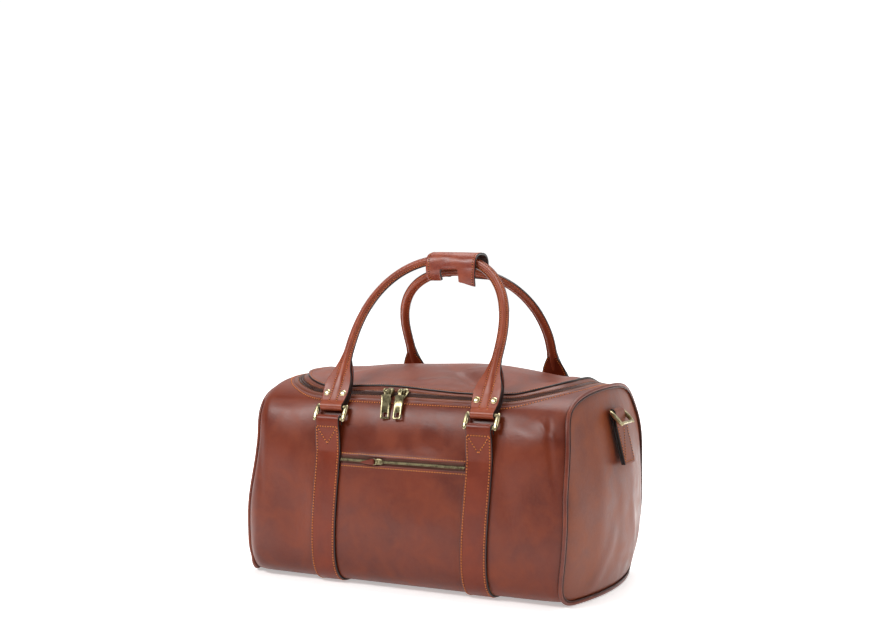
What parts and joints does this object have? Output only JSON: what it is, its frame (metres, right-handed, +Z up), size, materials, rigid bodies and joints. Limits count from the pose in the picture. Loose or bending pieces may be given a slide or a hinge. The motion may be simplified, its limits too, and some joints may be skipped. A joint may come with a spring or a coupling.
{
  "type": "duffel bag",
  "caption": "Leather duffel bag with two rolled handles on metal rings, a wide zipped lid, a zipped front pocket and ring tabs on both ends.",
  "frame": {"origin": "under the middle of the base, on the ground", "axes": "+Z up, +X along the bag to the right end, -Y the front with the zipped pocket"},
  "size_m": [0.5698, 0.3065, 0.4726],
  "materials": {
    "leather": "satin",
    "leather_dark": "satin",
    "brass": "satin",
    "cloth": "matte",
    "board": "matte"
  },
  "bodies": {
    "bag": {"front_panel": "leather", "back_panel": "leather", "bottom_panel": "leather_dark", "end_panel_left": "leather", "end_panel_right": "leather", "piping_left": "leather_dark", "piping_right": "leather_dark", "lining": "cloth", "base_board": "board", "zip_gusset_body": "leather_dark", "zip_coil_body": "cloth", "lid_hinge_fold": "leather_dark", "strap_front_left": "leather", "strap_front_right": "leather", "strap_base_left": "leather_dark", "strap_base_right": "leather_dark", "strap_rear_left": "leather", "strap_rear_right": "leather", "strap_loops_front": "leather", "strap_loops_rear": "leather", "pocket_zip_tape": "cloth", "pocket_zip_teeth": "brass", "pocket_bag": "cloth", "end_tab_left": "leather", "end_tab_right": "leather"},
    "lid": {"lid_panel": "leather", "lid_lining": "cloth", "zip_gusset_lid": "leather_dark", "zip_coil_lid": "cloth"},
    "slider_left": {"slider_left": "brass"},
    "slider_right": {"slider_right": "brass"},
    "pull_left": {"pull_left": "brass"},
    "pull_right": {"pull_right": "brass"},
    "rings_front": {"ring_front_left": "brass", "ring_front_right": "brass"},
    "rings_rear": {"ring_rear_left": "brass", "ring_rear_right": "brass"},
    "handle_front": {"handle_front_tabs": "leather", "handle_front_grip": "leather", "handle_front_core": "cloth", "handle_front_rivets": "brass"},
    "handle_rear": {"handle_rear_tabs": "leather", "handle_rear_grip": "leather", "handle_rear_core": "cloth", "handle_rear_rivets": "brass"},
    "handle_wrap": {"handle_wrap": "leather", "wrap_snaps": "brass"},
    "end_ring_left": {"end_ring_left": "brass"},
    "end_ring_right": {"end_ring_right": "brass"},
    "pocket_slider": {"pocket_slider": "brass"},
    "pocket_pull": {"pocket_pull": "leather"}
  },
  "joints": [
    {"name": "lid_open", "type": "hinge", "parent": "bag", "child": "lid", "pos_m": [0, 0.098, 0.275], "axis": [-1, 0, 0], "range_deg": [0, 95], "deforming": ["handle_front_grip", "handle_front_core", "handle_rear_grip", "handle_rear_core", "handle_wrap", "wrap_snaps"]},
    {"name": "slider_left_run", "type": "slide", "parent": "bag", "child": "slider_left", "axis": [1, 0, 0], "range_m": [-0.044, 0.006]},
    {"name": "slider_right_run", "type": "slide", "parent": "bag", "child": "slider_right", "axis": [1, 0, 0], "range_m": [0, 0.092]},
    {"name": "pull_left_swing", "type": "hinge", "parent": "slider_left", "child": "pull_left", "pos_m": [-0.036, -0.11443, 0.27642], "axis": [-1, 0, 0], "range_deg": [0, 130]},
    {"name": "pull_right_swing", "type": "hinge", "parent": "slider_right", "child": "pull_right", "pos_m": [-0.012, -0.11443, 0.27642], "axis": [-1, 0, 0], "range_deg": [0, 130]},
    {"name": "rings_front_swing", "type": "hinge", "parent": "bag", "child": "rings_front", "pos_m": [0, -0.14593, 0.2369], "axis": [1, 0, 0], "range_deg": [0, 45]},
    {"name": "rings_rear_swing", "type": "hinge", "parent": "bag", "child": "rings_rear", "pos_m": [0, 0.14593, 0.2369], "axis": [-1, 0, 0], "range_deg": [0, 45]},
    {"name": "handle_front_swing", "type": "hinge", "parent": "rings_front", "child": "handle_front", "pos_m": [0, -0.136, 0.2531], "axis": [1, 0, 0], "range_deg": [0, 140]},
    {"name": "handle_rear_swing", "type": "hinge", "parent": "rings_rear", "child": "handle_rear", "pos_m": [0, 0.136, 0.2531], "axis": [-1, 0, 0], "range_deg": [0, 140]},
    {"name": "wrap_open", "type": "hinge", "parent": "handle_front", "child": "handle_wrap", "pos_m": [0, -0.0075, 0.46263], "axis": [1, 0, 0], "range_deg": [0, 80]},
    {"name": "end_ring_left_swing", "type": "hinge", "parent": "bag", "child": "end_ring_left", "pos_m": [-0.26472, 0, 0.252], "axis": [0, 1, 0], "range_deg": [0, 110]},
    {"name": "end_ring_right_swing", "type": "hinge", "parent": "bag", "child": "end_ring_right", "pos_m": [0.26472, 0, 0.252], "axis": [0, -1, 0], "range_deg": [0, 110]},
    {"name": "pocket_slider_run", "type": "slide", "parent": "bag", "child": "pocket_slider", "axis": [1, 0, 0], "range_m": [-0.034, 0.114]},
    {"name": "pocket_pull_swing", "type": "hinge", "parent": "pocket_slider", "child": "pocket_pull", "pos_m": [-0.0334, -0.1524, 0.181], "axis": [0, 0, 1], "range_deg": [0, 150]}
  ]
}
